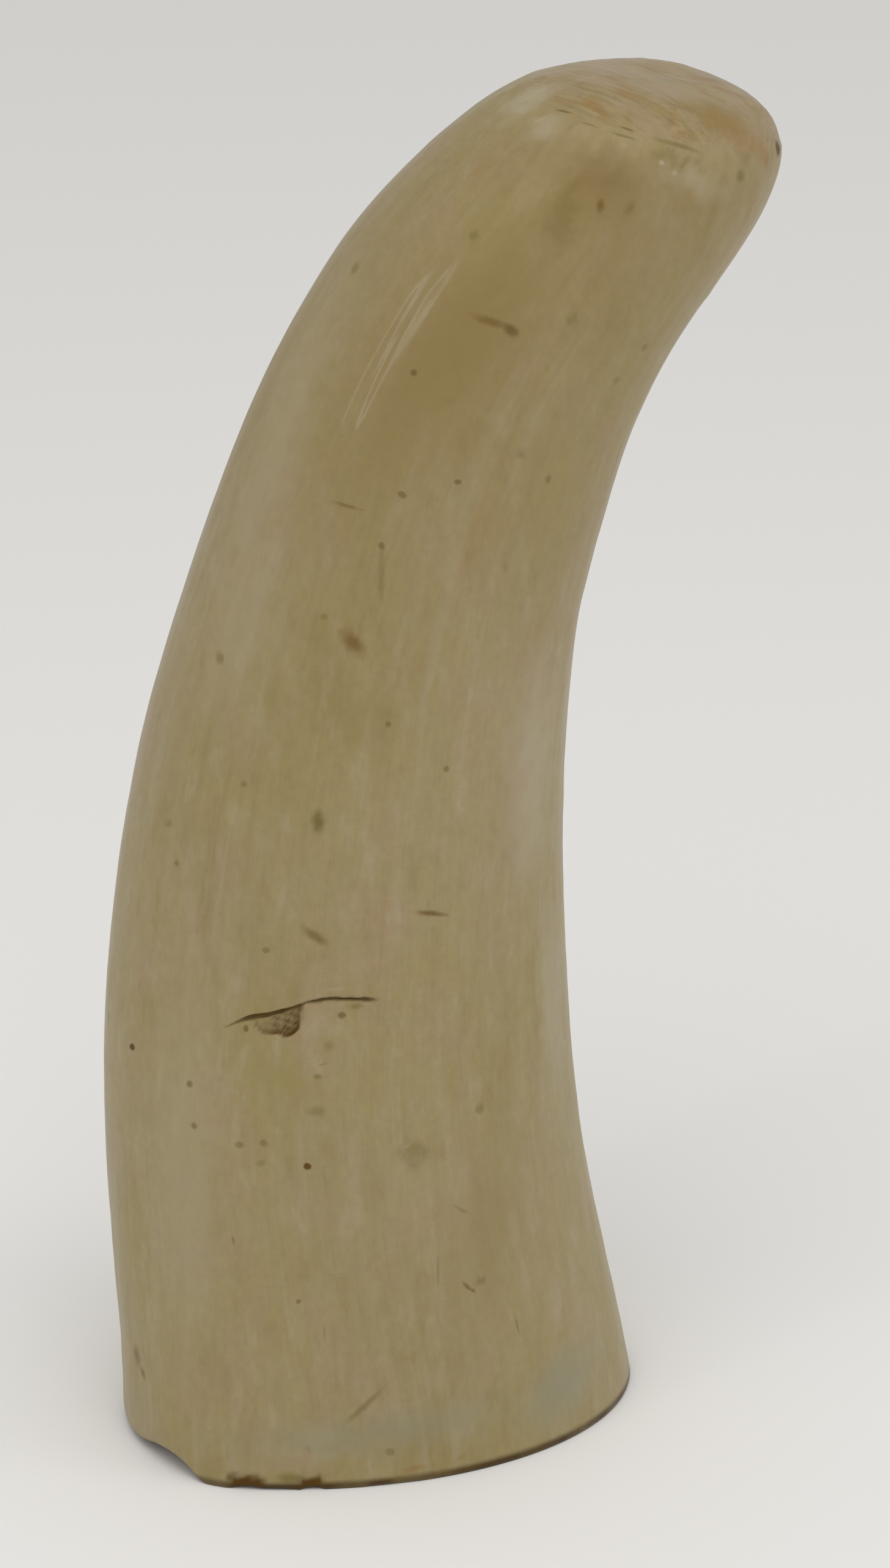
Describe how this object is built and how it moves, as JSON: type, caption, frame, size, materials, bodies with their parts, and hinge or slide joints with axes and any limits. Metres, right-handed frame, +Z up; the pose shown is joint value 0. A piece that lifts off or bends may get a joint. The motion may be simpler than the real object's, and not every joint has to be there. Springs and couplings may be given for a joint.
{
  "type": "sperm whale tooth",
  "caption": "Curved conical whale tooth with an oval section, a worn sloping tip and a flat sawn root face on which it stands.",
  "frame": {"origin": "middle of the bounding box at the level of the flat root face, on which the tooth stands", "axes": "+Z up along the tooth from the root face to the tip, +X the side that the tip leans to, the bend lies in the XZ plane, Y across it"},
  "size_m": [0.0724, 0.0444, 0.1483],
  "materials": {
    "dentine": "satin"
  },
  "bodies": {
    "root": {"tooth": "dentine"}
  },
  "joints": []
}
